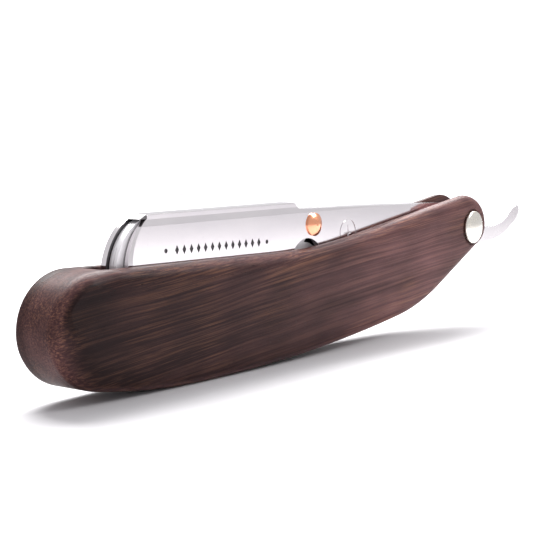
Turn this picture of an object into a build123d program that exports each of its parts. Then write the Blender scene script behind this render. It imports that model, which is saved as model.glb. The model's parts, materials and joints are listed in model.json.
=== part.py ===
"""Folding barber's razor for half blades: wooden handle, steel arm and a swing-out blade carrier.

The side view is drawn about the handle pivot, X along the handle and Z up, and every finished
piece is then lifted into the standing frame, where Z = 0 is the surface under the belly.
"""
from build123d import *
from math import asin, atan2, degrees
import os

# Handle pivot in the standing frame
PIVOT_X = 53.085
PIVOT_Z = 23.97

# Wooden handle
HANDLE_HALF = 6.0            # half of the thickness over both scales
SLOT_HALF = 2.8              # half of the slot between the scales
EDGE_ROUND = 1.6             # rounding of the outer edges
BLUNT_END = (-139.7, -10.7)  # foremost point of the blunt end
# Radius and turn of each arc from the blunt end over the top to the pivot end; radius 0 is a straight length
UPPER_RUN = [(10, -45), (12.4, -45.75), (0, 52.0), (170, 8.9), (0, 47.3), (12, -28.15), (7.4, -70)]
# The same from the blunt end along the belly
LOWER_RUN = [(9, 30), (13, 50.4), (175, 9.6), (480, 8.2)]
PIVOT_HEEL_RADIUS = 5.0      # lower corner of the pivot end
BELLY_TURN_RADIUS = 60.0     # where the belly rises to the pivot end
SPACER_NOSE_X = -122.2       # slot end beside the head's nose
SPACER_TOP_X = -126.1        # slot end at the top edge

# Pivot pin, its buttons and washers
PIN_RADIUS = 1.2
RUNNING_GAP = 0.05
BUTTON_RADIUS = 4.0
BUTTON_RIM = 1.1
BUTTON_DOME = 0.4
SEAT_RADIUS = 4.5
SEAT_DEPTH = 0.4
COLLAR_RADIUS = 3.8
COLLAR_THICK = 0.3
TANG_HALF = 1.5
TAIL_HALF = 1.0
TANG_WASHER_RADIUS = 3.6

# Blade arm
SPINE_Z = 9.15
SPINE_HALF = 2.0
ROOF_Z = 8.3                 # underside of the spine, above the carrier
HEAD_LOW_Z = -7.6
STEP_FRONT_X = -68.0
STEP_BACK_X = -66.5
SHANK_TOP_Z = 7.8
SHANK_LOW_Z = -3.6
CREASE_Z = 6.9
CREASE_HALF = 2.3
LOW_HALF = 2.5               # half thickness over the walls at the head's lower edge
CAVITY_TOP_HALF = 1.05
CAVITY_LOW_HALF = 1.1
CAVITY_BACK_X = -51.0
NEAR_NOSE_X = -118.4
FAR_NOSE_X = -121.0
NOSE_TOP_X = -113.3
NOSE_BEVEL_THICK = 0.4       # thickness taken off the near wall at its nose
NOSE_BEVEL_ANGLE = 72.0
NOTCH_CENTRE = (-64.1, -4.6)
NOTCH_RADIUS = 6.0

# Carrier and its rivet
RIVET_CENTRE = (-61.6, 4.2)
RIVET_RADIUS = 1.2
RIVET_HEAD_RADIUS = 2.5
RIVET_HEAD_RIM = 0.4
RIVET_HEAD_DOME = 0.7
RIVET_SEAT_HALF = 2.3
SHIM_RADIUS = 2.5
SHIM_INNER = 0.92
SHIM_OUTER = 1.03
CARRIER_HALF = 0.9
CARRIER_NOSE_X = -120.3
CARRIER_LOW_Z = -7.8
CARRIER_TOP_Z = 8.15
BOSS_RADIUS = 2.75
LUG_CENTRE = (-63.2, -5.2)
LUG_RADIUS = 5.6
SPLIT_Y = -0.05              # face between the carrier plate and the clamp leaf
BLADE_THICK = 0.1
BLADE_POCKET_TOP_Z = 3.2
BLADE_LENGTH = 43.0
BLADE_EDGE_LENGTH = 37.0
BLADE_CENTRE_X = -92.5
BLADE_TOP_Z = 2.2
BLADE_EDGE_Z = -8.8
BLADE_SHOULDER_Z = -4.4
PEG_RADIUS = 1.0
PEG_SPACING = 23.0

# Engraving on the arm's face
MARK_DEPTH = 0.12
MARK_Z = 2.0                 # height of the first dot
MARK_DROP = 0.4              # fall of the row from the first dot to the last
MARK_DOTS_X = (-108.5, -77.9)
MARK_FIRST_X = -105.4
MARK_PITCH = 2.07
MARK_COUNT = 13
MARK_DOT_RADIUS = 0.45
MARK_HALF_WIDTH = 0.55
MARK_HALF_HEIGHT = 0.95
RING_CENTRE = (-48.9, 1.6)
RING_RADIUS = 3.1
RING_LINE = 0.28


def side_plate(outline, low_y, high_y):
    """Solid between two Y levels, from an outline drawn in the side view."""
    return extrude(Plane.XZ.offset(-high_y) * outline, amount=high_y - low_y)


def side_disc(centre, radius, low_y, high_y):
    """Round bar along Y, centred on a point of the side view."""
    return side_plate(Pos(*centre) * Circle(radius), low_y, high_y)


def side_ring(centre, outer, inner, low_y, high_y):
    """Flat washer lying square to Y."""
    return side_disc(centre, outer, low_y, high_y) - side_disc(centre, inner, low_y, high_y)


def domed_button(centre, radius, rim, dome, seat_y, side):
    """Low domed head on a short rim, facing -Y where side is -1 and +Y where it is +1."""
    ball = (radius**2 + dome**2) / (2 * dome)
    cap = Pos(0, 0, rim + dome - ball) * Sphere(ball) & Pos(0, 0, rim + dome / 2) * Cylinder(radius, dome)
    head = Pos(0, 0, rim / 2) * Cylinder(radius, rim) + cap
    turned = Rotation(-90 * side, 0, 0) * head
    return Pos(centre[0], side * seat_y, centre[1]) * turned


def mirrored(shape):
    """The same piece on the other side of the razor's mid plane."""
    return mirror(shape, about=Plane.XZ)


def filled(*edges):
    """Face inside a closed run of edges."""
    return make_face(Curve() + list(edges))


# Handle -------------------------------------------------------------------

def arc_chain(start, heading, steps):
    """Edges that leave a point at a heading in degrees, from (radius, turn) arcs; radius 0 is a straight."""
    edges = []
    point = Vector(*start)
    tangent = Vector(1, 0).rotate(Axis.Z, heading)
    for radius, size in steps:
        edge = JernArc(point, tangent, radius, size) if radius else Line(point, point + tangent * size)
        edges.append(edge)
        point = edge @ 1
        tangent = edge % 1
    return edges


def heading_of(vector):
    """Heading of a direction in degrees."""
    return degrees(atan2(vector.Y, vector.X))


def left_of(vector):
    """Unit direction a quarter turn to the left."""
    return Vector(-vector.Y, vector.X).normalized()


def handle_outline():
    """Side outline of the handle, run both ways from the blunt end and joined by a tangent under the pivot."""
    upper = arc_chain(BLUNT_END, 90, UPPER_RUN)
    lower = arc_chain(BLUNT_END, -90, LOWER_RUN)
    end_point = upper[-1] @ 1
    end_centre = end_point - left_of(upper[-1] % 1) * PIVOT_HEEL_RADIUS
    belly_point = lower[-1] @ 1
    belly_centre = belly_point + left_of(lower[-1] % 1) * BELLY_TURN_RADIUS
    apart = belly_centre - end_centre
    swing = degrees(asin((BELLY_TURN_RADIUS - PIVOT_HEEL_RADIUS) / apart.length))
    line_heading = heading_of(apart) + swing
    heel_turn = (line_heading - heading_of(upper[-1] % 1)) % 360 - 360
    heel = JernArc(end_point, upper[-1] % 1, PIVOT_HEEL_RADIUS, heel_turn)
    belly_turn = line_heading + 180 - heading_of(lower[-1] % 1)
    belly = JernArc(belly_point, lower[-1] % 1, BELLY_TURN_RADIUS, (belly_turn + 180) % 360 - 180)
    return filled(*upper, heel, Line(heel @ 1, belly @ 1), belly, *lower)


def pin_seat(side):
    """Space in a scale for the pin, the collar and the button's rim."""
    hole = side_disc((0, 0), PIN_RADIUS, -HANDLE_HALF - 1, HANDLE_HALF + 1)
    seat = side_disc((0, 0), SEAT_RADIUS, HANDLE_HALF - SEAT_DEPTH, HANDLE_HALF + 1)
    return hole + (seat if side > 0 else mirrored(seat))


def scale(side):
    """One wooden side of the handle, rounded along its outer edge."""
    low, high = (SLOT_HALF, HANDLE_HALF) if side > 0 else (-HANDLE_HALF, -SLOT_HALF)
    blank = side_plate(handle_outline(), low, high)
    outer = blank.edges().group_by(Axis.Y)[-1 if side > 0 else 0]
    blank = fillet(outer, EDGE_ROUND)
    return blank - pin_seat(side)


def end_spacer():
    """Wooden filler that joins the scales at the blunt end."""
    left = -150
    slot_end = Polyline(
        (left, 5), (SPACER_TOP_X, 5), (SPACER_TOP_X, -1.2), (SPACER_NOSE_X, -4.5), (SPACER_NOSE_X, -30),
        (left, -30), close=True,
    )
    region = handle_outline() & make_face(slot_end)
    return side_plate(region, -SLOT_HALF, SLOT_HALF)


def pivot_pin():
    """Pin through both scales and the tang, ending inside the buttons."""
    reach = HANDLE_HALF - SEAT_DEPTH + COLLAR_THICK + BUTTON_RIM
    return side_disc((0, 0), PIN_RADIUS, -reach, reach)


def pivot_button(side):
    """Polished domed button over one end of the pin."""
    seat_y = HANDLE_HALF - SEAT_DEPTH + COLLAR_THICK
    button = domed_button((0, 0), BUTTON_RADIUS, BUTTON_RIM, BUTTON_DOME, seat_y, side)
    return button - pivot_pin()


def pivot_collar():
    """Thin washer at the bottom of the back scale's seat."""
    seat_y = HANDLE_HALF - SEAT_DEPTH
    return side_ring((0, 0), COLLAR_RADIUS, PIN_RADIUS, seat_y, seat_y + COLLAR_THICK)


def tang_washer():
    """Washer between the tang and the back scale."""
    return side_ring((0, 0), TANG_WASHER_RADIUS, PIN_RADIUS, TANG_HALF + RUNNING_GAP, SLOT_HALF)


# Blade arm ----------------------------------------------------------------

def nose(top_x, nose_x, top_z, low_z):
    """Front end of a leaf: a curved nose, a short straight and a round lower corner."""
    corner = 3.0
    middle = (top_x + 0.7 * (nose_x - top_x), top_z - 0.43 * top_z)
    curve = ThreePointArc((top_x, top_z), middle, (nose_x, 0))
    drop = Line((nose_x, 0), (nose_x, low_z + corner))
    bend = JernArc(drop @ 1, drop % 1, corner, 90)
    return [curve, drop, bend]


def arm_outline():
    """Side outline of the head and the shank."""
    front = nose(NOSE_TOP_X, FAR_NOSE_X, SPINE_Z, HEAD_LOW_Z)
    heel_x = NOTCH_CENTRE[0] - NOTCH_RADIUS - 0.9
    heel = Line(front[-1] @ 1, (heel_x, HEAD_LOW_Z))
    rise = Line(heel @ 1, (heel_x + 2.5, SHANK_LOW_Z))
    low = Line(rise @ 1, (-12, SHANK_LOW_Z - 1.0))
    back = Line(low @ 1, (-12, 6.4))
    top = Line(back @ 1, (STEP_BACK_X, SHANK_TOP_Z))
    step = Line(top @ 1, (STEP_FRONT_X, SPINE_Z))
    spine = Line(step @ 1, (NOSE_TOP_X, SPINE_Z))
    return filled(*front, heel, rise, low, back, top, step, spine)


def along_x(points, from_x, to_x):
    """Bar along X from one half of a cross-section, given as (Y, Z) points, and its mirror."""
    outline = list(points) + [(-y, z) for y, z in reversed(points)]
    section = make_face(Polyline(*outline, close=True))
    return extrude(Plane.YZ.offset(from_x) * section, amount=to_x - from_x)


def arm_section():
    """Cross-section of the arm: flat spine, bevel and walls that spread towards the edge."""
    spine_break = 0.2
    half = [
        (SPINE_HALF - spine_break, SPINE_Z), (SPINE_HALF, SPINE_Z - spine_break), (SPINE_HALF, 8.2),
        (CREASE_HALF, CREASE_Z), (LOW_HALF, HEAD_LOW_Z),
    ]
    return along_x(half, -125, -5)


def arm_plan():
    """Plan outline that thins the shank down to the tang."""
    wide = LOW_HALF + 1
    half = [(-125, wide), (-27, wide), (-25, LOW_HALF), (-14, TANG_HALF), (-5, TANG_HALF)]
    outline = half + [(x, -y) for x, y in reversed(half)]
    face = make_face(Polyline(*outline, close=True))
    return extrude(Pos(0, 0, -20) * face, amount=40)


def carrier_cavity():
    """Space between the walls for the carrier, open below and in front."""
    side = make_face(Polyline(
        (-125, -12), (-125, ROOF_Z), (STEP_FRONT_X - 0.8, ROOF_Z), (STEP_BACK_X - 0.8, 7.15),
        (CAVITY_BACK_X, 7.15), (CAVITY_BACK_X, -12), close=True,
    ))
    section = along_x([(CAVITY_TOP_HALF, ROOF_Z), (CAVITY_LOW_HALF, HEAD_LOW_Z - 1)], -126, CAVITY_BACK_X)
    return side_plate(side, -3, 3) & section


def near_nose_cut():
    """Space in front of the near wall, whose nose is shorter than the far wall's."""
    front = nose(NOSE_TOP_X, NEAR_NOSE_X, ROOF_Z, HEAD_LOW_Z)
    corner = front[-1] @ 1
    around = Polyline(corner, (corner.X, -12), (-125, -12), (-125, ROOF_Z), (NOSE_TOP_X, ROOF_Z))
    return side_plate(filled(*front, around), -4, -CAVITY_TOP_HALF)


def tang_outline():
    """Tang and curled tail, round the pivot."""
    top = Spline((-20, 6.5), (-4, 5.8), (7, 2.2), (16, -1.2), (22, -0.9), (26.5, 0.8), (31.6, 3.5),
                 tangents=((1, -0.02), (1, 0.25)))
    tip = ThreePointArc(top @ 1, (33.2, 3.3), (33.4, 1.9))
    low = Spline(tip @ 1, (30, -1.1), (23.5, -3.9), (16, -4.9), (6, -5.4), (-4, -5.4), (-20, SHANK_LOW_Z - 0.5),
                 tangents=((-0.4, -1), (-1, 0.1)))
    back = Line(low @ 1, top @ 0)
    return filled(top, tip, low, back)


def tail_plan():
    """Plan outline that thins the tang down to the tail."""
    half = [(-30, TANG_HALF), (9, TANG_HALF), (15, TAIL_HALF), (40, TAIL_HALF)]
    outline = half + [(x, -y) for x, y in reversed(half)]
    face = make_face(Polyline(*outline, close=True))
    return extrude(Pos(0, 0, -20) * face, amount=40)


def wall_half(height):
    """Half thickness over the walls at a height below the crease."""
    share = (CREASE_Z - height) / (CREASE_Z - HEAD_LOW_Z)
    return CREASE_HALF + share * (LOW_HALF - CREASE_HALF)


def mark_height(x):
    """Height of the row of marks, which falls gently towards the tail."""
    first, last = MARK_DOTS_X
    return MARK_Z - MARK_DROP * (x - first) / (last - first)


def lozenge(x, z, half_width, half_height):
    """Upright lozenge in the side view."""
    corners = [(x - half_width, z), (x, z + half_height), (x + half_width, z), (x, z - half_height)]
    return make_face(Polyline(*corners, close=True))


def engraving():
    """Shallow cuts in the near face: two dots, a row of lozenges and a ring round a four-pointed star."""
    floor_y = -wall_half(MARK_Z) + MARK_DEPTH
    cuts = [side_disc((x, mark_height(x)), MARK_DOT_RADIUS, -4, floor_y) for x in MARK_DOTS_X]
    for index in range(MARK_COUNT):
        x = MARK_FIRST_X + index * MARK_PITCH
        cuts.append(side_plate(lozenge(x, mark_height(x), MARK_HALF_WIDTH, MARK_HALF_HEIGHT), -4, floor_y))
    cuts.append(side_ring(RING_CENTRE, RING_RADIUS, RING_RADIUS - RING_LINE, -4, floor_y))
    for turn in (0, 90):
        ray = Rotation(0, 0, turn) * lozenge(0, 0, 0.4, 1.9)
        cuts.append(side_plate(Pos(*RING_CENTRE) * ray, -4, floor_y))
    return cuts


def nose_bevel():
    """Cut that bevels the outer face of the near wall along its nose."""
    front = nose(NOSE_TOP_X, NEAR_NOSE_X, SPINE_Z, HEAD_LOW_Z)
    lead = Line((NOSE_TOP_X + 12, SPINE_Z + 9), (NOSE_TOP_X, SPINE_Z))
    tail = Polyline(front[-1] @ 1, (0, HEAD_LOW_Z), (0, SPINE_Z + 9), (NOSE_TOP_X + 12, SPINE_Z + 9))
    start_y = LOW_HALF - NOSE_BEVEL_THICK
    face = Plane.XZ.offset(start_y) * filled(lead, *front, tail)
    kept = extrude(face, amount=NOSE_BEVEL_THICK + 0.1, taper=NOSE_BEVEL_ANGLE)
    slab = Pos(NOSE_TOP_X, -start_y - 0.5, 0) * Box(24, 1.0, 40)
    return slab - kept


def blade_arm():
    """One-piece steel arm: channel head with a raised spine, shank, tang and curled tail."""
    body = side_plate(arm_outline(), -3, 3) & arm_section() & arm_plan()
    body -= carrier_cavity()
    body -= near_nose_cut()
    body -= nose_bevel()
    body -= side_disc(NOTCH_CENTRE, NOTCH_RADIUS, -4, 4)
    notch_mouth = make_face(Pos(NOTCH_CENTRE[0], NOTCH_CENTRE[1] - 4) * Rectangle(2 * NOTCH_RADIUS, 8))
    body -= side_plate(notch_mouth, -4, 4)
    body += side_plate(tang_outline(), -TANG_HALF, TANG_HALF) & tail_plan()
    body -= side_disc((0, 0), PIN_RADIUS + RUNNING_GAP, -4, 4)
    body -= side_disc(RIVET_CENTRE, RIVET_RADIUS, -4, 4)
    seat = side_disc(RIVET_CENTRE, RIVET_HEAD_RADIUS + 0.05, RIVET_SEAT_HALF, 4)
    body -= seat
    body -= mirrored(seat)
    for cut in engraving():
        body -= cut
    return body


def carrier_rivet():
    """Copper rivet through both walls, with a domed head on each side."""
    heads = [
        domed_button(RIVET_CENTRE, RIVET_HEAD_RADIUS, RIVET_HEAD_RIM, RIVET_HEAD_DOME, RIVET_SEAT_HALF, side)
        for side in (-1, 1)
    ]
    return side_disc(RIVET_CENTRE, RIVET_RADIUS, -RIVET_SEAT_HALF, RIVET_SEAT_HALF) + heads


def rivet_shim():
    """Thin washer between the carrier and the back wall."""
    return side_ring(RIVET_CENTRE, SHIM_RADIUS, RIVET_RADIUS, SHIM_INNER, SHIM_OUTER)


# Blade carrier --------------------------------------------------------------

def carrier_outline():
    """Side outline of the carrier: long leaf, round boss on the rivet and thumb lug."""
    front = nose(NOSE_TOP_X - 0.5, CARRIER_NOSE_X, CARRIER_TOP_Z, CARRIER_LOW_Z)
    rivet_x, rivet_z = RIVET_CENTRE
    heel = Line(front[-1] @ 1, (-71.5, CARRIER_LOW_Z))
    up = Line(heel @ 1, (-68.0, -4.0))
    across = Line(up @ 1, (rivet_x + 0.6, rivet_z - 1.5))
    close = Polyline(across @ 1, (rivet_x, rivet_z + BOSS_RADIUS), (STEP_BACK_X - 1.5, 6.95),
                     (STEP_FRONT_X - 1.5, CARRIER_TOP_Z), front[0] @ 0)
    leaf = filled(*front, heel, up, across, close)
    boss = Pos(rivet_x, rivet_z) * Circle(BOSS_RADIUS)
    lug = Pos(*LUG_CENTRE) * Circle(LUG_RADIUS)
    return leaf + boss + lug


def peg_places():
    """Side-view centres of the two blade pegs."""
    half = PEG_SPACING / 2
    return [(BLADE_CENTRE_X - half, BLADE_TOP_Z), (BLADE_CENTRE_X + half, BLADE_TOP_Z)]


def carrier_bores(low_y, high_y):
    """Holes for the rivet and the pegs."""
    cuts = [side_disc(RIVET_CENTRE, RIVET_RADIUS + RUNNING_GAP, low_y, high_y)]
    cuts += [side_disc(place, PEG_RADIUS, low_y, high_y) for place in peg_places()]
    return cuts


def carrier_plate():
    """Back half of the carrier, with the rivet bore and the thumb lug."""
    return side_plate(carrier_outline(), SPLIT_Y, CARRIER_HALF) - carrier_bores(-1, 1)


def clamp_leaf():
    """Front half of the carrier, relieved where the blade lies against the plate."""
    leaf = side_plate(carrier_outline(), -CARRIER_HALF, SPLIT_Y)
    relief = make_face(Polyline(
        (-125, -12), (-125, BLADE_POCKET_TOP_Z), (-70, BLADE_POCKET_TOP_Z), (-70, -12), close=True,
    ))
    return leaf - side_plate(relief, SPLIT_Y - BLADE_THICK, SPLIT_Y + 1) - carrier_bores(-1, 1)


def blade_pegs():
    """Two pegs that locate the half blade."""
    return Compound([side_disc(place, PEG_RADIUS, -CARRIER_HALF, CARRIER_HALF) for place in peg_places()])


def half_blade():
    """Half of a double-edge blade, its shoulders and peg notches included."""
    long_half = BLADE_LENGTH / 2
    edge_half = BLADE_EDGE_LENGTH / 2
    half = [(long_half, BLADE_TOP_Z), (long_half, BLADE_SHOULDER_Z), (edge_half, BLADE_SHOULDER_Z - 1.4),
            (edge_half, BLADE_EDGE_Z)]
    outline = [(BLADE_CENTRE_X + x, z) for x, z in half] + [(BLADE_CENTRE_X - x, z) for x, z in reversed(half)]
    face = make_face(Polyline(*outline, close=True))
    blade = side_plate(face, SPLIT_Y - BLADE_THICK, SPLIT_Y)
    for place in peg_places():
        blade -= side_disc(place, PEG_RADIUS + RUNNING_GAP, -1, 1)
    return blade


def main():
    """Build every piece, lift it into the standing frame and write it out."""
    collar = pivot_collar()
    washer = tang_washer()
    shim = rivet_shim()
    pieces = {
        "front_scale": scale(-1),
        "back_scale": scale(1),
        "end_spacer": end_spacer(),
        "pivot_pin": pivot_pin(),
        "front_pivot_button": pivot_button(-1),
        "back_pivot_button": pivot_button(1),
        "front_pivot_collar": mirrored(collar),
        "back_pivot_collar": collar,
        "front_tang_washer": mirrored(washer),
        "back_tang_washer": washer,
        "blade_arm": blade_arm(),
        "carrier_rivet": carrier_rivet(),
        "front_rivet_shim": mirrored(shim),
        "back_rivet_shim": shim,
        "carrier_plate": carrier_plate(),
        "clamp_leaf": clamp_leaf(),
        "blade_pegs": blade_pegs(),
        "half_blade": half_blade(),
    }
    os.makedirs("parts", exist_ok=True)
    for name, piece in pieces.items():
        export_step(Pos(PIVOT_X, 0, PIVOT_Z) * piece, f"parts/{name}.step")


if __name__ == "__main__":
    main()
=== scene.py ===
"""Looks of a folding barber's razor: rosewood handle, polished steel arm and copper rivet.

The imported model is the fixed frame. Its steel pieces stay and get their finishes here. The wooden pieces
and the turned heads are built again as finer surfaces in the same places.
"""
import json
import logging
import math
from dataclasses import dataclass, field
from enum import Enum
from typing import Any, Callable

import bpy
import numpy as np
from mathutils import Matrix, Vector


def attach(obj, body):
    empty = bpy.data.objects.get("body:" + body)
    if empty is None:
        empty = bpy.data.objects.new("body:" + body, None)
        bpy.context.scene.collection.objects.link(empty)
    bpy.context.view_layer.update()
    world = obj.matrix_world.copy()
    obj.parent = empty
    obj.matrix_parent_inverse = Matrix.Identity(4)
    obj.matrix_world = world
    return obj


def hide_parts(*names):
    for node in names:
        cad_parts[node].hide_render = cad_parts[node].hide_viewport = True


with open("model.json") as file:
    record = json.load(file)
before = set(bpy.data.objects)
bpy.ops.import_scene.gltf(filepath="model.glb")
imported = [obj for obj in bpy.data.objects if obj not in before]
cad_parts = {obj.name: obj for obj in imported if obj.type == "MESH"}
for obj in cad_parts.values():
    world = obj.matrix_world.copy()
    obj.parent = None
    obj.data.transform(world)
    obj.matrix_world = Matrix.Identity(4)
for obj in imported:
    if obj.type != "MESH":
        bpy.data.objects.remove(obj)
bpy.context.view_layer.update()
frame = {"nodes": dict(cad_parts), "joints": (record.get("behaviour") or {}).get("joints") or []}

log = logging.getLogger("razor")
MM = 0.001
Colour = tuple[float, float, float]


# Shader maths ---------------------------------------------------------------

class Wire:
    """An output socket that takes part in Python arithmetic through Math nodes."""

    def __init__(self, sheet: "NodeSheet", socket: bpy.types.NodeSocket) -> None:
        """Keep the socket and the sheet that its nodes are drawn on."""
        self.sheet = sheet
        self.socket = socket

    def _math(self, operation: str, *values: Any) -> "Wire":
        """One Math node over the given values, in order."""
        return self.sheet.node("ShaderNodeMath", {"operation": operation}, dict(enumerate(values)))

    def __add__(self, other: Any) -> "Wire":
        """Sum."""
        return self._math("ADD", self, other)

    def __radd__(self, other: Any) -> "Wire":
        """Sum with a number on the left."""
        return self._math("ADD", other, self)

    def __sub__(self, other: Any) -> "Wire":
        """Difference."""
        return self._math("SUBTRACT", self, other)

    def __rsub__(self, other: Any) -> "Wire":
        """Difference from a number."""
        return self._math("SUBTRACT", other, self)

    def __mul__(self, other: Any) -> "Wire":
        """Product."""
        return self._math("MULTIPLY", self, other)

    def __rmul__(self, other: Any) -> "Wire":
        """Product with a number on the left."""
        return self._math("MULTIPLY", other, self)

    def __pow__(self, other: Any) -> "Wire":
        """Power."""
        return self._math("POWER", self, other)

    def rise(self, low: float, high: float) -> "Wire":
        """Smooth step from 0 at low to 1 at high."""
        settings = {"interpolation_type": "SMOOTHSTEP", "clamp": True}
        sockets = {"Value": self, "From Min": low, "From Max": high}
        return self.sheet.node("ShaderNodeMapRange", settings, sockets)

    def between(self, low: float, high: float, soft: float) -> "Wire":
        """1 between low and high with soft shoulders outside them, else 0."""
        return self.rise(low - soft, low) * (1.0 - self.rise(high, high + soft))

    def at_most(self, other: Any) -> "Wire":
        """The smaller of two values."""
        return self._math("MINIMUM", self, other)

    def at_least(self, other: Any) -> "Wire":
        """The larger of two values."""
        return self._math("MAXIMUM", self, other)


class NodeSheet:
    """A node tree with one way to add a node."""

    def __init__(self, tree: bpy.types.NodeTree) -> None:
        """Start an empty tree."""
        self.tree = tree
        self.tree.nodes.clear()

    def node(self, kind: str, settings: dict[str, Any] | None = None,
             sockets: dict[Any, Any] | None = None, output: int | str = 0) -> Wire:
        """Add a node.

        Args:
            kind: Blender's node type.
            settings: the node's properties, set first; "stops" are a ramp's (place, colour) pairs.
            sockets: input name or number to a value, a colour or another wire.
            output: name or number of the output to hand back.

        Returns:
            The output as a wire.
        """
        made = self.tree.nodes.new(kind)
        for name, value in (settings or {}).items():
            if name == "stops":
                self._stops(made.color_ramp, value)
            else:
                setattr(made, name, value)
        for key, value in (sockets or {}).items():
            self._feed(made.inputs[key], value)
        return Wire(self, made.outputs[output])

    def _feed(self, socket: bpy.types.NodeSocket, value: Any) -> None:
        """Link a wire to an input, or set its own value."""
        if isinstance(value, Wire):
            self.tree.links.new(value.socket, socket)
        elif isinstance(value, (tuple, list)) and socket.type == "RGBA" and len(value) == 3:
            socket.default_value = (*value, 1.0)
        else:
            socket.default_value = value

    @staticmethod
    def _stops(ramp: bpy.types.ColorRamp, stops: list[tuple[float, Colour]]) -> None:
        """Fill a colour ramp from its stops, in order of place."""
        while len(ramp.elements) < len(stops):
            ramp.elements.new(1.0)
        for element, (place, colour) in zip(ramp.elements, stops):
            element.position = place
            element.color = (*colour, 1.0)

    def mix(self, share: Any, first: Any, second: Any, blend: str = "MIX") -> Wire:
        """Colour mix.

        Args:
            share: how much of the second colour, 0 to 1.
            first: the first colour.
            second: the second colour.
            blend: Blender's blend type.

        Returns:
            The mixed colour.
        """
        settings = {"data_type": "RGBA", "blend_type": blend}
        return self.node("ShaderNodeMix", settings, {0: share, 6: first, 7: second}, output=2)

    def noise(self, place: Wire, detail: float = 3.0, roughness: float = 0.55) -> Wire:
        """Fractal noise of scale 1 at a place."""
        sockets = {"Vector": place, "Scale": 1.0, "Detail": detail, "Roughness": roughness}
        return self.node("ShaderNodeTexNoise", {"noise_dimensions": "3D"}, sockets)

    def joined(self, x: Any, y: Any, z: Any) -> Wire:
        """Vector from three numbers."""
        return self.node("ShaderNodeCombineXYZ", None, {0: x, 1: y, 2: z})

    def split(self, vector: Wire) -> tuple[Wire, Wire, Wire]:
        """The three parts of a vector."""
        parts = self.node("ShaderNodeSeparateXYZ", None, {0: vector})
        outputs = parts.socket.node.outputs
        return tuple(Wire(self, outputs[index]) for index in range(3))


class MaterialSheet(NodeSheet):
    """The node tree of one material."""

    def __init__(self, name: str) -> None:
        """Make the material and its empty tree."""
        self.material = bpy.data.materials.new(name)
        self.material.use_nodes = True
        super().__init__(self.material.node_tree)

    def place_mm(self, turn: float = 0.0) -> Wire:
        """Object coordinates in millimetres, turned about Y by an angle in degrees."""
        position = self.node("ShaderNodeTexCoord", None, None, "Object")
        sockets = {"Vector": position, "Scale": (1000.0,) * 3, "Rotation": (0.0, math.radians(turn), 0.0)}
        return self.node("ShaderNodeMapping", None, sockets)

    def stretched(self, place: Wire, x: float, y: float, z: float) -> Wire:
        """A place with each axis scaled on its own."""
        return self.node("ShaderNodeVectorMath", {"operation": "MULTIPLY"}, {0: place, 1: (x, y, z)})

    def bump(self, height: Wire, depth_mm: float) -> Wire:
        """Bump normal from a height of 0 to 1 that stands for a depth in millimetres."""
        sockets = {"Height": height, "Distance": depth_mm * MM, "Strength": 1.0}
        return self.node("ShaderNodeBump", None, sockets)

    def finish(self, **sockets: Any) -> bpy.types.Material:
        """Close the tree with a Principled shader whose sockets are named with _ for a space."""
        named = {name.replace("_", " "): value for name, value in sockets.items()}
        shader = self.node("ShaderNodeBsdfPrincipled", None, named)
        self.node_output(shader)
        return self.material

    def node_output(self, shader: Wire) -> None:
        """Link a shader to the surface."""
        out = self.tree.nodes.new("ShaderNodeOutputMaterial")
        self.tree.links.new(shader.socket, out.inputs["Surface"])


# Finishes -------------------------------------------------------------------

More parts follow.
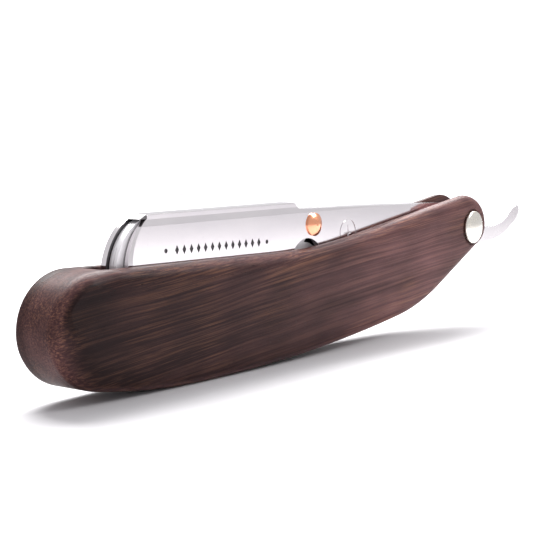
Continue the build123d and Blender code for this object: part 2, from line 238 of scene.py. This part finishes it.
@dataclass(frozen=True)
class RosewoodFinish:
    """Oiled dark rosewood: fine streaks along the handle, pores and a satin surface.

    Besides its figure, the wood carries painted shade by place: it is painted darker towards the blunt end,
    on the flat faces, at the pivot end and on the back scale, and random patches vary it too. Places are in
    millimetres, X from the middle of the razor and Y from its mid plane.
    """

    name: str = "rosewood_oiled"
    ground: Colour = (0.108, 0.048, 0.051)
    heart: Colour = (0.210, 0.100, 0.099)
    streak: Colour = (0.480, 0.225, 0.145)
    pore: Colour = (0.022, 0.009, 0.010)
    grain_rise: float = 5.5
    roughness: float = 0.42
    # Painted shade: the fields from here on set a ramp along the handle and the darkening of the faces, blunt
    # end, back scale and pivot end.
    shade_ramp_dark_x: float = -85.0
    shade_ramp_light_x: float = 55.0
    blunt_x: float = -85.0
    blunt_reach: float = 22.0
    rim_half: float = 5.0
    face_half: float = 5.98
    shade_ramp_base: float = 0.40
    shade_ramp_gain: float = 0.30
    tone_level: float = 1.15
    face_shade: float = 0.62
    blunt_face_shade: float = 0.45
    back_scale_shade: float = 0.5
    pivot_end_shade: float = 0.25

    def paint(self) -> bpy.types.Material:
        """Make the material."""
        sheet = MaterialSheet(self.name)
        place = sheet.place_mm(turn=self.grain_rise)
        drift = sheet.noise(sheet.stretched(place, 0.018, 0.06, 0.06), detail=2.0)
        along, through, across = sheet.split(place)
        across = across + (drift - 0.5) * 2.6
        flow = sheet.joined(along, through, across)
        broad = sheet.noise(sheet.stretched(flow, 0.012, 0.22, 0.24), detail=3.0)
        figure = sheet.noise(sheet.stretched(flow, 0.022, 2.6, 2.6), detail=5.0, roughness=0.66)
        fibre = sheet.noise(sheet.stretched(flow, 0.10, 4.0, 8.0), detail=4.0, roughness=0.62)
        dash = sheet.noise(sheet.stretched(flow, 0.75, 9.0, 8.0), detail=2.0)
        fleck = sheet.noise(sheet.stretched(place, 2.6, 3.2, 3.2), detail=1.0)
        warm = sheet.noise(sheet.stretched(place, 0.035, 0.08, 0.09), detail=2.0).rise(0.44, 0.66)
        bands = figure * 0.62 + broad * 0.38
        colour = sheet.mix(bands.rise(0.38, 0.62), self.ground, self.heart)
        lines = (figure * 0.5 + fibre * 0.5).rise(0.48, 0.60)
        length, depth, _ = sheet.split(sheet.place_mm())
        far = length.rise(-40.0, 30.0)
        colour = sheet.mix(lines * (warm * 0.75 + 0.28) * (1.0 - far * 0.5), colour, self.streak)
        pores = dash.rise(0.60, 0.70) * broad.rise(0.35, 0.6)
        colour = sheet.mix(pores * 0.75 * (1.0 - far * 0.5), colour, self.pore)
        colour = sheet.mix(fleck.rise(0.735, 0.76) * 0.5, colour, (0.24, 0.17, 0.14))
        face = (depth * depth).rise(self.rim_half ** 2, self.face_half ** 2)
        blunt = 1.0 - length.rise(self.blunt_x, self.blunt_x + self.blunt_reach)
        patch = sheet.noise(sheet.stretched(place, 0.05, 0.1, 0.12), detail=2.0)
        # Painted shade: a ramp along the handle, darker towards the blunt end.
        shade_and_tone = length.rise(self.shade_ramp_dark_x, self.shade_ramp_light_x) * self.shade_ramp_gain + self.shade_ramp_base
        # Painted shade on the flat faces, with less of it towards the pivot end; the rims stay lighter.
        shade_and_tone = shade_and_tone * (1.0 - face * (1.0 - far * 0.75) * self.face_shade) * self.tone_level
        # Painted shade on the faces near the blunt end; the random patches after it are the wood's own tone.
        shade_and_tone = shade_and_tone * (1.0 - face * blunt * self.blunt_face_shade) * (patch * 1.6 + 0.2)
        # Painted shade: the back scale is painted darker, down to half as light as the front scale.
        shade_and_tone = shade_and_tone * (1.0 - depth.rise(1.0, 4.0) * self.back_scale_shade)
        # Painted shade towards the pivot end.
        shade_and_tone = shade_and_tone * (1.0 - length.rise(20.0, self.shade_ramp_light_x) * self.pivot_end_shade)
        colour = sheet.mix(1.0, colour, sheet.joined(shade_and_tone, shade_and_tone, shade_and_tone), "MULTIPLY")
        rough = (fibre - 0.5) * 0.22 + pores * 0.2 + self.roughness
        height = fibre * 0.35 + (1.0 - pores) * 0.65
        return sheet.finish(Base_Color=colour, Roughness=rough, Specular_IOR_Level=0.08,
                            Normal=sheet.bump(height, 0.035))


@dataclass(frozen=True)
class SteelFinish:
    """Bright stainless steel with faint polishing lines, and painted shade where a shade function says so."""

    name: str
    colour: Colour = (0.86, 0.825, 0.84)
    dull: Colour = (0.76, 0.73, 0.76)
    # Near-black colour for painted shade, and for the engraving's black.
    hollow: Colour = (0.012, 0.011, 0.013)
    roughness: float = 0.13
    metallic: float = 1.0
    line_depth: float = 0.0012
    shade: Callable[[MaterialSheet, Wire], Wire] | None = None

    def paint(self) -> bpy.types.Material:
        """Make the material."""
        sheet = MaterialSheet(self.name)
        place = sheet.place_mm()
        lines = sheet.noise(sheet.stretched(place, 0.25, 9.0, 9.0), detail=3.0)
        cloud = sheet.noise(sheet.stretched(place, 0.07, 0.2, 0.2), detail=2.0)
        nick = sheet.noise(sheet.stretched(place, 1.6, 1.6, 1.6), detail=1.0).rise(0.70, 0.76)
        colour = sheet.mix(cloud.rise(0.4, 0.7) * 0.35 + nick * 0.3, self.colour, self.dull)
        rough = (lines - 0.5) * 0.08 + nick * 0.1 + self.roughness
        if self.shade is not None:
            # Painted shade: the shade function's darkness mixes in the near-black hollow colour.
            dark = self.shade(sheet, place)
            colour = sheet.mix(dark, colour, self.hollow)
            rough = rough + dark * 0.4
        return sheet.finish(Base_Color=colour, Metallic=self.metallic, Roughness=rough,
                            Normal=sheet.bump(lines, self.line_depth))


@dataclass(frozen=True)
class TurnedFinish:
    """Turned and polished metal with fine rings about a centre of the side view, in millimetres."""

    name: str
    colour: Colour
    tarnish: Colour
    centre: tuple[float, float]
    roughness: float = 0.16

    def paint(self) -> bpy.types.Material:
        """Make the material."""
        sheet = MaterialSheet(self.name)
        place = sheet.place_mm()
        x, y, z = sheet.split(place)
        radius = ((x - self.centre[0]) ** 2.0 + (z - self.centre[1]) ** 2.0) ** 0.5
        rings = sheet.noise(sheet.joined(radius * 14.0, y * 3.0, 0.0), detail=2.0)
        cloud = sheet.noise(sheet.stretched(place, 0.9, 0.9, 0.9), detail=3.0).rise(0.42, 0.72)
        colour = sheet.mix(cloud * 0.6, self.colour, self.tarnish)
        rough = (rings - 0.5) * 0.10 + cloud * 0.12 + self.roughness
        return sheet.finish(Base_Color=colour, Metallic=1.0, Roughness=rough, Normal=sheet.bump(rings, 0.002))


# Surfaces -------------------------------------------------------------------

def ring_faces(rings: int, around: int) -> np.ndarray:
    """Quads of a grid of rings that close on themselves: ring k and point j make vertex k * around + j.

    Args:
        rings: number of rings.
        around: points in each ring.

    Returns:
        Array (quad, 4) of vertex numbers.
    """
    k, j = np.meshgrid(np.arange(rings - 1), np.arange(around), indexing="ij")
    low = k * around
    high = low + around
    following = (j + 1) % around
    quads = np.stack([low + j, low + following, high + following, high + j], -1)
    return quads.reshape(-1, 4)


def solid_from_rings(name: str, rings: np.ndarray) -> bpy.types.Object:
    """Closed piece from rings of points, capped by one flat face at each end.

    Args:
        name: the piece's name.
        rings: array (ring, point, 3) in metres, wound so that the side faces look outwards.

    Returns:
        The new object, at the origin.
    """
    count, around = rings.shape[:2]
    faces = ring_faces(count, around).tolist()
    faces.append(np.arange(around)[::-1].tolist())
    faces.append((np.arange(around) + (count - 1) * around).tolist())
    mesh = bpy.data.meshes.new(name)
    mesh.from_pydata(rings.reshape(-1, 3), [], faces)
    piece = bpy.data.objects.new(name, mesh)
    bpy.context.scene.collection.objects.link(piece)
    return piece


def soften(piece: bpy.types.Object, angle: float = 32.0) -> None:
    """Shade a piece smooth and keep its edges over an angle sharp.

    Args:
        piece: the piece to shade.
        angle: the angle in degrees.
    """
    mesh = piece.data
    mesh.shade_smooth()
    mesh.set_sharp_from_angle(angle=math.radians(angle))


def cut_away(piece: bpy.types.Object, cutter: bpy.types.Object) -> None:
    """Take one solid away from another for good, and remove the cutter.

    Args:
        piece: the solid that is cut, which keeps its name.
        cutter: the solid that is taken away.
    """
    cut = piece.modifiers.new("cut", "BOOLEAN")
    cut.operation = "DIFFERENCE"
    cut.solver = "EXACT"
    cut.object = cutter
    shape = bpy.data.meshes.new_from_object(piece.evaluated_get(bpy.context.evaluated_depsgraph_get()))
    piece.modifiers.clear()
    old = piece.data
    piece.data = shape
    bpy.data.meshes.remove(old)
    shape.name = piece.name
    bpy.data.objects.remove(cutter)


class Side(Enum):
    """The two sides of the razor, by the sign of Y."""

    FRONT = -1
    BACK = 1


@dataclass(frozen=True)
class Run:
    """A stretch of constant curvature: a start, a heading in radians, a curvature and a length."""

    start: complex
    heading: float
    curvature: float
    length: float

    def point(self, along: np.ndarray | float) -> np.ndarray | complex:
        """Point at a distance along: the start plus the integral of the turning unit tangent.

        Args:
            along: distances in millimetres.

        Returns:
            The points, complex.
        """
        if self.curvature == 0:
            return self.start + np.exp(1j * self.heading) * along
        swung = np.exp(1j * (self.heading + self.curvature * along)) - np.exp(1j * self.heading)
        return self.start + swung / (1j * self.curvature)

    def heading_at(self, along: np.ndarray | float) -> np.ndarray | float:
        """Heading at a distance along, which grows with the curvature."""
        return self.heading + self.curvature * along

    def backwards(self) -> "Run":
        """The same stretch travelled the other way."""
        end, heading = self.point(self.length), self.heading_at(self.length)
        return Run(end, heading + math.pi, -self.curvature, self.length)


def runs_from(start: complex, heading: float, steps: list[tuple[float, float]]) -> list[Run]:
    """Stretches that follow each other, each tangent to the one before.

    Args:
        start: where the first one starts.
        heading: its heading there, in radians.
        steps: (radius, turn in degrees) pairs; radius 0 makes the second number a straight length.

    Returns:
        The stretches in order.
    """
    runs = []
    for radius, size in steps:
        turn = math.radians(size)
        if radius:
            run = Run(start, heading, math.copysign(1 / radius, size), radius * abs(turn))
        else:
            run = Run(start, heading, 0.0, size)
        runs.append(run)
        start = run.point(run.length)
        heading = run.heading_at(run.length)
    return runs


@dataclass
class HandleOutline:
    """Side outline of the handle about its pivot, in millimetres, as complex numbers X + iZ."""

    blunt_end: complex = -139.7 - 10.7j
    upper: list[tuple[float, float]] = field(default_factory=lambda: [
        (10, -45), (12.4, -45.75), (0, 52.0), (170, 8.9), (0, 47.3), (12, -28.15), (7.4, -70)])
    lower: list[tuple[float, float]] = field(default_factory=lambda: [
        (9, 30), (13, 50.4), (175, 9.6), (480, 8.2)])
    heel_radius: float = 5.0
    belly_radius: float = 60.0

    def runs(self) -> list[Run]:
        """All stretches, from the blunt end over the top, round the pivot and back along the belly."""
        upper = runs_from(self.blunt_end, math.pi / 2, self.upper)
        lower = runs_from(self.blunt_end, -math.pi / 2, self.lower)
        last, low = upper[-1].backwards(), lower[-1].backwards()
        leaving = last.heading - math.pi
        arriving = low.heading
        heel_centre = last.start - 1j * np.exp(1j * leaving) * self.heel_radius
        belly_centre = low.start - 1j * np.exp(1j * arriving) * self.belly_radius
        apart = belly_centre - heel_centre
        heading = np.angle(apart) + math.asin((self.belly_radius - self.heel_radius) / abs(apart))
        full = 2 * math.pi
        heel_length = ((leaving - heading) % full) * self.heel_radius
        heel = Run(last.start, leaving, -1 / self.heel_radius, heel_length)
        belly_start = belly_centre + 1j * np.exp(1j * heading) * self.belly_radius
        heel_end = heel.point(heel.length)
        line = Run(heel_end, heading, 0.0, abs(belly_start - heel_end))
        belly_length = ((heading - arriving) % full) * self.belly_radius
        belly = Run(belly_start, heading, -1 / self.belly_radius, belly_length)
        return upper + [heel, line, belly] + [run.backwards() for run in reversed(lower)]

    def sampled(self, spacing: float) -> tuple[np.ndarray, np.ndarray]:
        """Points of the closed outline and its outward normals, about evenly spaced.

        Args:
            spacing: distance between points in millimetres.

        Returns:
            Two complex arrays, the points and the unit normals.
        """
        points, normals = [], []
        for run in self.runs():
            steps = max(2, round(run.length / spacing))
            along = np.arange(steps) * run.length / steps
            points.append(run.point(along))
            normals.append(1j * np.exp(1j * run.heading_at(along)))
        return np.concatenate(points), np.concatenate(normals)


@dataclass
class WoodenHandle:
    """The two scales and the end spacer, in millimetres about the pivot."""

    pivot: Vector
    finish: bpy.types.Material
    outline: HandleOutline = field(default_factory=HandleOutline)
    half: float = 6.0
    slot_half: float = 2.8
    seat_radius: float = 4.5
    seat_depth: float = 0.4
    pin_radius: float = 1.2
    slot_break: float = 0.45
    spacer_top_x: float = -126.1
    spacer_nose_x: float = -122.2
    spacing: float = 0.45

    def _placed(self, flat: np.ndarray, y: np.ndarray) -> np.ndarray:
        """Points in the shared frame, in metres.

        Args:
            flat: places in the side view about the pivot, complex, in millimetres.
            y: distances from the mid plane, in millimetres.

        Returns:
            Array (..., 3).
        """
        x = flat.real * MM + self.pivot.x
        z = flat.imag * MM + self.pivot.z
        return np.stack([x, np.broadcast_to(y, flat.shape) * MM, z], -1)

    def _edge_radius(self, points: np.ndarray, normals: np.ndarray, side: Side) -> np.ndarray:
        """Rounding of the outer edge: soft along the top, less along the belly, widest at the roll.

        Args:
            points: the outline, complex.
            normals: its outward normals, complex.
            side: which scale the edge belongs to.

        Returns:
            The radius at each point, in millimetres.
        """
        from_blunt = np.clip((points.real + 136.0) / 24.0, 0, 1)
        eased = from_blunt ** 2 * (3 - 2 * from_blunt)
        upward = np.clip(normals.imag, 0, 1)
        blunt = 1.8 if side is Side.FRONT else 0.8
        return blunt + eased * (2.2 - blunt + 0.45 * upward) + self._roll(points, side) * 1.5

    @staticmethod
    def _roll(points: np.ndarray, side: Side) -> np.ndarray:
        """How much of the front scale's rolled blunt end is present.

        Args:
            points: the outline, complex.
            side: which scale is asked about; the back one has no roll.

        Returns:
            0 to 1 at each point: full above, gone by the belly.
        """
        forward = np.clip((-124.0 - points.real) / 7.0, 0, 1)
        above = np.clip((points.imag + 13.0) / 9.0, 0, 1)
        return forward * above * above * (3 - 2 * above) * (side is Side.FRONT)

    def _face_fall(self, points: np.ndarray, normals: np.ndarray,
                   side: Side) -> tuple[np.ndarray, np.ndarray]:
        """How the face falls towards its edge.

        Args:
            points: the outline, complex.
            normals: its outward normals, complex.
            side: which scale the face belongs to.

        Returns:
            Tilt at the edge in radians, and how far in from the edge the face has gone flat.
        """
        near_blunt = 1 - np.clip((points.real + 139.7) / 20.0, 0, 1)
        tilt = np.radians(4.0 + 9.0 * near_blunt)
        depth = 4.2 + 4.0 * near_blunt
        roll = self._roll(points, side)
        tilt = tilt * (1 - roll) + np.radians(27.0) * roll
        rolled = self._edge_radius(points, normals, side) * (1 - np.sin(tilt)) + 0.3
        return tilt, depth * (1 - roll) + rolled * roll

    def section(self, points: np.ndarray, normals: np.ndarray, side: Side) -> tuple[np.ndarray, np.ndarray]:
        """Section of a scale at each point of the outline.

        It runs from the slot face round a small break, up the rim, round the outer edge as an arc and over
        the face as a parabola that leaves the arc at the tilt and is level at the depth.

        Args:
            points: the outline, complex.
            normals: its outward normals, complex.
            side: which scale the section belongs to.

        Returns:
            Distances in from the outline and heights from the mid plane, as arrays (ring, point).
        """
        radius = self._edge_radius(points, normals, side)
        tilt, depth = self._face_fall(points, normals, side)
        open_slot = np.clip((points.real - self.spacer_top_x) / 1.5, 0, 1)
        inner = 0.02 + (self.slot_break - 0.02) * open_slot
        turn = np.linspace(0, math.pi / 2, 5)[:, None]
        inner_in = inner * (1 - np.sin(turn))
        inner_up = self.slot_half + inner * (1 - np.cos(turn))
        start = radius * (1 - np.sin(tilt))
        fall = np.tan(tilt) * (depth - start) / 2
        centre = self.half - fall - radius * np.cos(tilt)
        swing = np.linspace(0, 1, 13)[:, None] * (math.pi / 2 - tilt)
        outer_in = radius * (1 - np.cos(swing))
        outer_up = centre + radius * np.sin(swing)
        share = (np.linspace(0, 1, 13)[1:, None]) ** 1.2
        face_in = start + (depth - start) * share
        face_up = self.half - fall * (1 - share) ** 2
        return np.concatenate([inner_in, outer_in, face_in]), np.concatenate([inner_up, outer_up, face_up])

    def scale(self, side: Side) -> bpy.types.Object:
        """One side of the handle with the button's seat and the pin hole cut in.

        Args:
            side: which side to make.

        Returns:
            The finished piece.
        """
        points, normals = self.outline.sampled(self.spacing)
        inward, up = self.section(points, normals, side)
        rings = self._placed(points - inward * normals, up * side.value)
        if side is Side.FRONT:
            rings = rings[:, ::-1]
        piece = solid_from_rings(f"{side.name.lower()}_scale_wood", rings)
        cut_away(piece, self._seat_cutter(side))
        soften(piece, 40)
        self._dress(piece, f"{side.name.lower()}_scale")
        return piece

    def _seat_cutter(self, side: Side) -> bpy.types.Object:
        """Stepped plug: the seat's radius down to its floor, then the pin's radius through the scale."""
        floor = self.half - self.seat_depth
        profile = [(self.pin_radius, self.slot_half - 1), (self.pin_radius, floor), (self.seat_radius, floor),
                   (self.seat_radius, self.half + 1)]
        return turned_solid("seat_cutter", profile, self.pivot, side, 96)

    def spacer(self) -> bpy.types.Object:
        """Filler at the blunt end, whose rim follows the same outline between the scales."""
        points, _ = self.outline.sampled(self.spacing)
        top = points[(points.real < self.spacer_top_x) & (points.imag > -10.7)]
        low = points[(points.real < self.spacer_nose_x) & (points.imag <= -10.7)]
        top_z = self._rim_height(points, self.spacer_top_x)
        low_z = self._rim_height(points, self.spacer_nose_x, False)
        slot_end = np.array([complex(self.spacer_top_x, top_z), self.spacer_top_x - 1.2j,
                             self.spacer_nose_x - 4.5j, complex(self.spacer_nose_x, low_z)])
        loop = np.concatenate([top, slot_end, low])
        rings = np.stack([self._placed(loop, np.array(y)) for y in (-self.slot_half, self.slot_half)])
        piece = solid_from_rings("end_spacer_wood", rings)
        soften(piece, 25)
        self._dress(piece, "end_spacer")
        return piece

    @staticmethod
    def _rim_height(points: np.ndarray, x: float, top: bool = True) -> float:
        """Height of the outline at an X near the blunt end.

        Args:
            points: the outline, complex.
            x: where the height is wanted.
            top: the top of the outline, or else its belly.

        Returns:
            The height about the pivot, in millimetres.
        """
        part = points[(points.real < x + 10) & ((points.imag > -10.7) == top)]
        order = np.argsort(part.real)
        return float(np.interp(x, part.real[order], part.imag[order]))

    def _dress(self, piece: bpy.types.Object, node: str) -> None:
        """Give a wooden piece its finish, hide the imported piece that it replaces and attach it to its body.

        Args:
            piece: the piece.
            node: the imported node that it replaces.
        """
        piece.data.materials.clear()
        piece.data.materials.append(self.finish)
        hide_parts(node)
        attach(piece, "handle")
        log.info("wooden piece %s, %d faces", piece.name, len(piece.data.polygons))


def turned_solid(name: str, profile: list[tuple[float, float]], centre: Vector, side: Side,
                 around: int) -> bpy.types.Object:
    """Solid of revolution about a Y axis, closed by a flat face at each end.

    Args:
        name: the piece's name.
        profile: (radius, distance from the mid plane) pairs in millimetres, from the inside out.
        centre: a point on the axis, in metres.
        side: which side of the razor the profile's distances run to.
        around: points round the axis.

    Returns:
        The new object.
    """
    angle = np.arange(around) * 2 * math.pi / around
    radius, out = np.array(profile, float).T
    x = centre.x + MM * radius[:, None] * np.cos(angle)
    z = centre.z + MM * radius[:, None] * np.sin(angle)
    y = np.broadcast_to(side.value * MM * out[:, None], x.shape)
    rings = np.stack([x, y, z], -1)
    if side is Side.BACK:
        rings = rings[:, ::-1]
    return solid_from_rings(name, rings)


@dataclass
class TurnedHead:
    """A domed head on the pin: rim, rounded shoulder and shallow dome."""

    name: str
    node: str
    body: str
    slot: str
    centre: Vector
    finish: bpy.types.Material
    radius: float
    foot: float
    rim: float
    dome: float
    shoulder: float

    def profile(self) -> list[tuple[float, float]]:
        """Straight rim, a quarter arc of the shoulder, then a dome that falls off as the radius squared."""
        turn = np.linspace(0, math.pi / 2, 9)
        flat = self.radius - self.shoulder
        edge = self.foot + self.rim
        shoulder_r = flat + self.shoulder * np.cos(turn)
        shoulder_y = edge - self.shoulder + self.shoulder * np.sin(turn)
        dome_r = flat * np.linspace(1, 0.03, 16)[1:]
        dome_y = edge + self.dome * (1 - (dome_r / flat) ** 2)
        radii = np.concatenate([[self.radius], shoulder_r, dome_r])
        heights = np.concatenate([[self.foot], shoulder_y, dome_y])
        return list(zip(radii, heights))

    def build(self, side: Side) -> bpy.types.Object:
        """Make the head on one side.

        Args:
            side: which side to make.

        Returns:
            The finished piece.
        """
        piece = turned_solid(self.name, self.profile(), self.centre, side, 96)
        soften(piece, 50)
        piece.data.materials.append(self.finish)
        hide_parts(self.node)
        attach(piece, self.body)
        log.info("turned piece %s", piece.name)
        return piece


# Steel shades ---------------------------------------------------------------

@dataclass(frozen=True)
class HeadShade:
    """Painted shade on the arm's steel: the channel between its walls, the top of the nose and the tail; the
    engraving is dark both as blackening and as painted shade in its recess.
    """

    pivot_x: float
    pivot_z: float
    marks_dark: float = 0.92
    badge_dark: float = 0.2
    channel_shade_amount: float = 0.86
    cap_shade_amount: float = 0.85
    tail_shade_amount: float = 0.24

    def __call__(self, sheet: MaterialSheet, place: Wire) -> Wire:
        """Amount of painted shade and engraving black at a place.

        Args:
            sheet: the material's nodes.
            place: the place in millimetres.

        Returns:
            Darkness from 0 to 1.
        """
        x, y, z = sheet.split(place)
        x = x - self.pivot_x
        z = z - self.pivot_z
        half = (6.9 - z) * (0.2 / 14.5) + 2.3
        depth = half + y
        # Engraving: dark as blackening in the engraved floors and as painted shade in their recess.
        floor = depth.rise(0.05, 0.09) * (1.0 - depth.rise(0.16, 0.22))
        marks = x.between(-110.5, -76.0, 0.1) * z.between(-0.2, 3.4, 0.1)
        badge = x.between(-52.4, -45.4, 0.1) * z.between(-1.8, 5.0, 0.1)
        engraved = (marks * self.marks_dark + badge * self.badge_dark) * floor
        # Painted shade inside the arm's channel, between its walls.
        hollow = y.between(-1.12, 1.12, 0.02) * (1.0 - z.rise(8.4, 8.6)) * (1.0 - x.rise(-51.2, -50.8))
        inside = hollow * self.channel_shade_amount
        # Painted shade on the top of the nose, the spine's end face.
        cap = z.rise(8.26, 8.32) * (1.0 - x.rise(-113.3, -113.1)) * self.cap_shade_amount
        # Painted shade on the tail, which makes it read grey rather than white.
        tail = x.rise(4.0, 10.0) * self.tail_shade_amount
        return engraved.at_most(1.0).at_least(inside).at_least(cap).at_least(tail)


# Studio ---------------------------------------------------------------------

@dataclass
class Studio:
    """Plain pale floor, soft light and the camera."""

    pivot: Vector
    floor_reach: float = 0.45
    floor_tone: Colour = (0.58, 0.57, 0.585)
    light_strength: float = 0.7
    seen_strength: float = 1.8
    eye_mm: tuple[float, float, float] = (-295.04, -174.98, 26.59)
    heading: float = 38.5
    dip: float = 6.2
    lens: float = 91.15

    def floor(self) -> None:
        """Sheet of plain pale paper under the belly."""
        reach = self.floor_reach
        mesh = bpy.data.meshes.new("floor")
        corners = [(-reach, -reach, 0), (reach, -reach, 0), (reach, reach, 0), (-reach, reach, 0)]
        mesh.from_pydata(corners, [], [(0, 1, 2, 3)])
        floor = bpy.data.objects.new("floor", mesh)
        bpy.context.scene.collection.objects.link(floor)
        sheet = MaterialSheet("pale_paper")
        mesh.materials.append(sheet.finish(Base_Color=self.floor_tone, Roughness=0.75))

    def world(self) -> None:
        """Even white surroundings, which the camera sees brighter than they light the razor."""
        world = bpy.data.worlds.new("studio")
        bpy.context.scene.world = world
        world.use_nodes = True
        sheet = NodeSheet(world.node_tree)
        seen = sheet.node("ShaderNodeLightPath", None, None, "Is Camera Ray")
        strength = (1.0 - seen) * self.light_strength + seen * self.seen_strength
        sockets = {"Color": (0.985, 0.975, 1.0), "Strength": strength}
        shade = sheet.node("ShaderNodeBackground", None, sockets)
        out = sheet.tree.nodes.new("ShaderNodeOutputWorld")
        sheet.tree.links.new(shade.socket, out.inputs["Surface"])

    @staticmethod
    def panel(name: str, place: tuple[float, float, float], aim: tuple[float, float, float],
              size: tuple[float, float], power: float) -> None:
        """Soft rectangular light.

        Args:
            name: the light's name.
            place: where it hangs, in metres.
            aim: the point that it faces, in metres.
            size: its two sides, in metres.
            power: its power in watts.
        """
        light = bpy.data.lights.new(name, "AREA")
        light.shape = "RECTANGLE"
        light.size, light.size_y = size
        light.energy = power
        lamp = bpy.data.objects.new(name, light)
        lamp.location = place
        lamp.rotation_euler = (Vector(aim) - Vector(place)).to_track_quat("-Z", "Y").to_euler()
        bpy.context.scene.collection.objects.link(lamp)

    def lights(self) -> None:
        """Wide panel overhead, one over the pivot end and a small one in front of it."""
        self.panel("top_panel", (0.12, 0.36, 0.58), (-0.03, 0.0, 0.0), (0.36, 0.36), 8.6)
        self.panel("side_panel", (0.26, 0.14, 0.32), (0.0, 0.0, 0.0), (0.24, 0.24), 2.6)
        self.panel("front_panel", (0.15, -0.16, 0.20), (0.0, 0.0, 0.02), (0.12, 0.12), 0.42)

    def camera(self) -> None:
        """Camera low in front of the blunt end, level across."""
        data = bpy.data.cameras.new("camera")
        data.lens = self.lens
        data.sensor_width = 36.0
        data.clip_start, data.clip_end = 0.01, 20.0
        camera = bpy.data.objects.new("camera", data)
        camera.location = Vector(self.eye_mm) * MM + self.pivot
        turn, dip = math.radians(self.heading), math.radians(self.dip)
        look = Vector((math.cos(dip) * math.cos(turn), math.cos(dip) * math.sin(turn), -math.sin(dip)))
        camera.rotation_euler = look.to_track_quat("-Z", "Y").to_euler()
        bpy.context.scene.collection.objects.link(camera)
        bpy.context.scene.camera = camera

    def build(self) -> None:
        """Set everything up."""
        self.floor()
        self.world()
        self.lights()
        self.camera()
        bpy.context.scene.view_settings.view_transform = "Standard"


# Assembly -------------------------------------------------------------------

def joint_place(name: str) -> Vector:
    """A joint's place at rest, in metres."""
    found = next(joint for joint in frame["joints"] if joint["name"] == name)
    return Vector(found["pos_m"])


def dress_nodes(finish: bpy.types.Material, *nodes: str) -> None:
    """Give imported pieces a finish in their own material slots.

    Args:
        finish: the material.
        nodes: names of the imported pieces.
    """
    for node in nodes:
        mesh = frame["nodes"][node].data
        mesh.materials.clear()
        mesh.materials.append(finish)
        log.info("finish %s on %s", finish.name, node)


def main() -> None:
    """Build the wooden handle, the turned heads, the finishes and the studio."""
    logging.basicConfig(level=logging.INFO, format="%(message)s")
    pivot = joint_place("arm_pivot")
    rivet = joint_place("carrier_hinge")
    rivet_mm = (rivet.x / MM, rivet.z / MM)
    pivot_mm = (pivot.x / MM, pivot.z / MM)

    handle = WoodenHandle(pivot, RosewoodFinish().paint())
    handle.scale(Side.FRONT)
    handle.scale(Side.BACK)
    handle.spacer()

    arm_steel = SteelFinish("arm_steel", shade=HeadShade(*pivot_mm)).paint()
    leaf_steel = SteelFinish("leaf_steel", colour=(0.93, 0.91, 0.93), roughness=0.4, metallic=0.45).paint()
    blade_steel = SteelFinish("blade_steel", colour=(0.6, 0.6, 0.63), roughness=0.28).paint()
    copper = TurnedFinish("rivet_copper", (0.96, 0.45, 0.27), (0.93, 0.38, 0.21), rivet_mm).paint()
    nickel = TurnedFinish("button_nickel", (0.86, 0.83, 0.76), (0.70, 0.66, 0.58), pivot_mm, 0.2).paint()
    brass = TurnedFinish("washer_brass", (0.70, 0.52, 0.24), (0.5, 0.36, 0.16), pivot_mm, 0.3).paint()

    dress_nodes(arm_steel, "blade_arm")
    dress_nodes(leaf_steel, "carrier_plate", "clamp_leaf", "blade_pegs", "pivot_pin")
    dress_nodes(blade_steel, "half_blade")
    dress_nodes(copper, "carrier_rivet")
    dress_nodes(nickel, "front_pivot_collar", "back_pivot_collar")
    dress_nodes(brass, "front_tang_washer", "back_tang_washer", "front_rivet_shim", "back_rivet_shim")

    for side in Side:
        word = side.name.lower()
        button = TurnedHead(f"{word}_button_turned", f"{word}_pivot_button", "handle", "nickel_silver", pivot,
                            nickel, radius=4.0, foot=5.9, rim=0.9, dome=0.55, shoulder=0.45)
        button.build(side)
    Studio(pivot).build()


if __name__ == "__main__":
    main()
